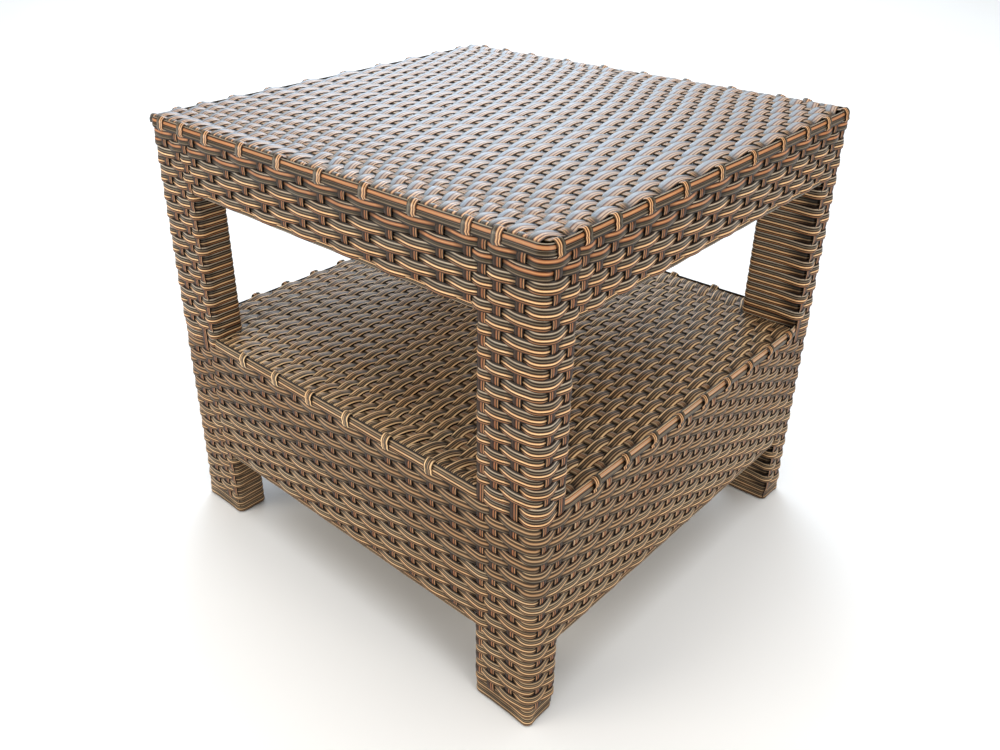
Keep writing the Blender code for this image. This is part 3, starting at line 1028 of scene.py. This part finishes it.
def shelf_strands(bundles, loops):
    """Strands that run from front to back across the shelf, between the legs at its sides."""
    xs, width, looped, drifts = strand_field(SHELF_STRANDS, BOX_FRONT_BAY)
    route = hoop(CORE_Y, SHELF, BOX_FOOT, TUCK)
    inner = LEG_INNER_Y - INNER_WRAP - STRAND_THICK
    for i, at in enumerate(xs):
        bundle = bundles[i >= SHELF_STRANDS / 2]
        crossings = [(y, turn_about(m, i + 1)) for m, y in enumerate(SHELF_CROSS)]
        if abs(at) > LEG_INNER_X - BETWEEN_LEGS:
            ends = [route.find(mirror * inner, SHELF) for mirror in (1, -1)]
            knots = [(end, WEAVE_MID) for end in ends]
            knots += [(route.find(y, SHELF), weave_height(side)) for y, side in crossings
                      if abs(y) < inner - LEG_CLEARANCE]
            over(bundle, route, "y", at, knots, width, ends, STRAND_STEP)
            continue
        tails = {}
        if i in looped:
            tails = {mirror: box_stake(looped[i], mirror * CORE_Y)[1] for mirror in (1, -1)}
        aside = drifts[i]
        if abs(at) > LEG_INNER_X - STRAND_BESIDE_LEG:
            aside -= math.copysign(SQUEEZE, at)
        flip = at < SHELF_TURN_X
        lay_strand(bundle, loops, route, SHELF, at, crossings, tails, width, flip, aside)


def plain_stakes(bundle, xs, level, describe):
    """Front and back stakes that start under a border. describe gives a stake's route and rows."""
    for mirror in (-1, 1):
        wall = mirror * CORE_Y
        for x in xs[::2]:
            route, rows = describe(x, wall)
            rim = route.find(wall, level)
            end = 0 if mirror > 0 else route.length
            knots = stake_knots(route, CORE_Y, rows, mirror)
            knots += [(route.find(wall, level - RIM_DROP), TUCKED), (rim, TUCKED), (end, TUCKED)]
            over(bundle, route, "y", x, knots, STAKE_WIDTH, (rim, end))


def weave_walls(name, heights, ring, passes, upper_rows, finishes, hem_z):
    """The level strands of the apron or the box, in an upper and a lower piece. The lower one also has
    a narrow hem strip along each wall's bottom edge between the legs."""
    upper = strand_bundle()
    wall_rows(upper, heights[:upper_rows], ring, passes, 0, False)
    upper.build(name + "_weavers_upper", finishes[0])
    lower = strand_bundle()
    wall_rows(lower, heights[upper_rows:], ring, passes, upper_rows, True)
    for wall in WALL_NAMES:
        wall_strip(lower, wall, hem_z, HEM_PAST_LEG, HEM_LIFT, HEM_WIDTH, False, HEM_WAVE)
    lower.build(name + "_weavers_lower", finishes[1], sides(name + "_weave"))


def weave(finish):
    """Makes every woven piece. finish maps each name in LOOKS to its material."""
    weave_walls("apron", APRON_Z, APRON_RING, apron_side, BROAD_ROWS,
                (finish["broad_strand"], finish["fine_strand"]), APRON_LOW + APRON_HEM_RISE)
    weave_walls("box", BOX_Z, BOX_RING, box_side, UPPER_BOX_ROWS,
                (finish["box_strand"], finish["foot_strand"]), BOX_LOW - BOX_HEM_DROP)
    top_border(finish["border_strip"])
    shelf_border(finish["foot_strand"], finish["side_border_strip"])
    bay = (BAY_Z, bay_side, APRON_RING, APRON_ROWS)
    foot = (FOOT_Z, box_side, BOX_RING, BOX_ROWS, PLAIN_FOOT_ROWS, FOOT_FLARES)
    for corner, sx, sy in LEGS:
        for stem, look, rows in (("leg", "fine_strand", bay), ("foot", "foot_strand", foot)):
            wraps = strand_bundle()
            leg_rows(wraps, corner, sx, sy, *rows)
            wraps.build(f"{stem}_weavers_{corner}", finish[look], [f"{stem}_weave_{corner}"])
    for name, lay, look in (("top_cross_stakes", top_cross_stakes, "stake_strip"),
                            ("shelf_cross_stakes", shelf_cross_stakes, "shelf_stake_strip")):
        cross = stake_bundle()
        lay(cross)
        cross.build(name, finish[look])
    walls = stake_bundle()
    for name, lay in (("top", top_strands), ("shelf", shelf_strands)):
        right, left = strand_bundle(), strand_bundle()
        lay((right, left), walls)
        right.build(name + "_strands_right", finish[name + "_strand"], [name + "_weave"])
        left.build(name + "_strands_left", finish[name + "_strand"])
    plain_stakes(walls, APRON_FRONT, TOP, apron_stake)
    plain_stakes(walls, BOX_FRONT_BAY, SHELF, box_stake)
    walls.build("wall_stakes", finish["stake_strip"])


def dress_frame():
    """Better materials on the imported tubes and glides."""
    metal = metal_finish()
    glide = glide_finish()
    for name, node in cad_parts.items():
        if node.hide_render:
            continue
        for slot in node.material_slots:
            slot.material = glide if name.startswith("foot_glide") else metal


# Set

FLOOR_SIZE = 60.0
ROOM_COLOUR = (1.0, 0.95, 0.88, 1)
ROOM_STRENGTH = 0.5
TABLE_MIDDLE = (0, 0, 0.25)
LIGHTS = (  # name, place, target, size, power, colour
    ("back_panel", (-3.4, 3.5, 2.6), (-2.6, 2.7, 0), 5.5, 160, (0.80, 0.90, 1.0)),
    ("back_sky", (-1.9, 2.0, 2.1), TABLE_MIDDLE, 1.6, 30, (0.72, 0.85, 1.0)),
    ("overhead", (0.2, -0.3, 2.6), TABLE_MIDDLE, 2.0, 38, (0.92, 0.96, 1.0)),
    ("left_fill", (-1.3, -2.7, 0.9), TABLE_MIDDLE, 1.6, 47, (1.0, 0.93, 0.82)),
    ("right_fill", (2.8, -0.4, 1.0), TABLE_MIDDLE, 1.6, 36, (1.0, 0.97, 0.91)),
)
CAMERA_PLACE = (0.5844, -0.6762, 0.6876)
CAMERA_FORWARD = (-0.6141, 0.6309, -0.4742)
CAMERA_RIGHT = (0.7209, 0.6930, -0.0116)
CAMERA_SHIFT = (0.0526, -0.0355)
SENSOR_WIDTH = 36
LENS = 32.99  # millimetres, as the sensor's width


def make_floor():
    mesh = bpy.data.meshes.new("floor")
    half = FLOOR_SIZE / 2
    corners = [(-half, -half, 0), (half, -half, 0), (half, half, 0), (-half, half, 0)]
    mesh.from_pydata(corners, [], [(0, 1, 2, 3)])
    finish = Finish("pale_floor", Roughness=0.9)
    finish.colour(finish.mix(finish.noise(finish.place(), 1.3), FLOOR_PALE, FLOOR_PALER))
    mesh.materials.append(finish.material)
    add_object("floor", mesh)


def area_light(name, place, target, size, energy, colour):
    data = bpy.data.lights.new(name, "AREA")
    data.size = size
    data.energy = energy
    data.color = colour
    light = add_object(name, data)
    light.location = place
    light.rotation_euler = (Vector(target) - Vector(place)).to_track_quat("-Z", "Y").to_euler()


def light_set():
    """A pale room, a cool broad light overhead and behind, and warm fills on the two seen faces."""
    world = bpy.data.worlds.new("studio")
    world.use_nodes = True
    back = world.node_tree.nodes["Background"]
    back.inputs["Color"].default_value = ROOM_COLOUR
    back.inputs["Strength"].default_value = ROOM_STRENGTH
    bpy.context.scene.world = world
    for light in LIGHTS:
        area_light(*light)


def make_camera():
    """Looks at the near right corner from above, level within a degree."""
    data = bpy.data.cameras.new("camera")
    data.sensor_width = SENSOR_WIDTH
    data.lens = LENS
    data.shift_x, data.shift_y = CAMERA_SHIFT
    camera = add_object("camera", data)
    forward = Vector(CAMERA_FORWARD).normalized()
    right = Vector(CAMERA_RIGHT)
    right = (right - forward * right.dot(forward)).normalized()
    up = right.cross(forward)
    turn = Matrix((right, up, -forward)).transposed()
    camera.matrix_world = Matrix.Translation(CAMERA_PLACE) @ turn.to_4x4()
    bpy.context.scene.camera = camera


make_camera()
weave({name: strand_finish(name, *look) for name, look in LOOKS.items()})
dress_frame()
make_floor()
light_set()
bpy.context.scene.view_settings.view_transform = "Standard"

bpy.context.view_layer.update()
